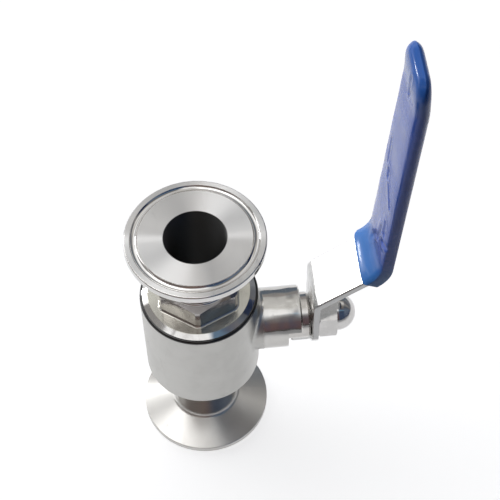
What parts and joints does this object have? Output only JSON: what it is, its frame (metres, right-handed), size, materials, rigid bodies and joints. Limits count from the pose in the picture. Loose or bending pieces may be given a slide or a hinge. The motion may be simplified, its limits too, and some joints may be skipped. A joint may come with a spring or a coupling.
{
  "type": "tri-clamp ball valve",
  "caption": "Sanitary two-piece ball valve with clamp ferrules, a hexagon end cap, a stuffing box and a bent lever with a vinyl grip.",
  "frame": {"origin": "centre of the lower ferrule's sealing face, on the flow's axis", "axes": "+Z along the flow from the lower port to the upper port, +X along the stem from the ball to the lever, the open lever's grip points along +Z"},
  "size_m": [0.1005, 0.0504, 0.1978],
  "materials": {
    "satin_steel": "satin, fine turned lines",
    "polished_steel": "polished, turned",
    "lever_steel": "cold-rolled sheet, tumbled",
    "nut_steel": "polished",
    "ball_steel": "mirror polished",
    "blue_vinyl": "dipped vinyl, glossy",
    "black_rubber": "matte",
    "ptfe": "waxy white"
  },
  "bodies": {
    "housing": {"body": "satin_steel", "end_cap": "polished_steel", "body_seal": "ptfe", "seat_ring_lower": "ptfe", "seat_ring_upper": "ptfe", "thrust_washer": "ptfe", "packing_base_ring": "ptfe", "packing_v_ring_inner": "ptfe", "packing_v_ring_middle": "ptfe", "packing_v_ring_outer": "ptfe", "packing_top_ring": "ptfe", "gland_follower": "satin_steel", "gland_nut": "polished_steel"},
    "stem_and_lever": {"stem": "satin_steel", "stem_o_ring": "black_rubber", "lever": "lever_steel", "lever_sleeve": "blue_vinyl", "lock_washer": "nut_steel", "acorn_nut": "nut_steel"},
    "ball": {"ball": "ball_steel"}
  },
  "joints": [
    {"name": "lever_turn", "type": "hinge", "parent": "housing", "child": "stem_and_lever", "pos_m": [0, 0, 0.0588], "axis": [1, 0, 0], "range_deg": [-90, 0]},
    {"name": "ball_turn", "type": "hinge", "parent": "housing", "child": "ball", "pos_m": [0, 0, 0.0588], "axis": [1, 0, 0], "range_deg": [-90, 0]}
  ],
  "couplings": [
    {"joint": "ball_turn", "follows": "lever_turn", "ratio": 1}
  ]
}
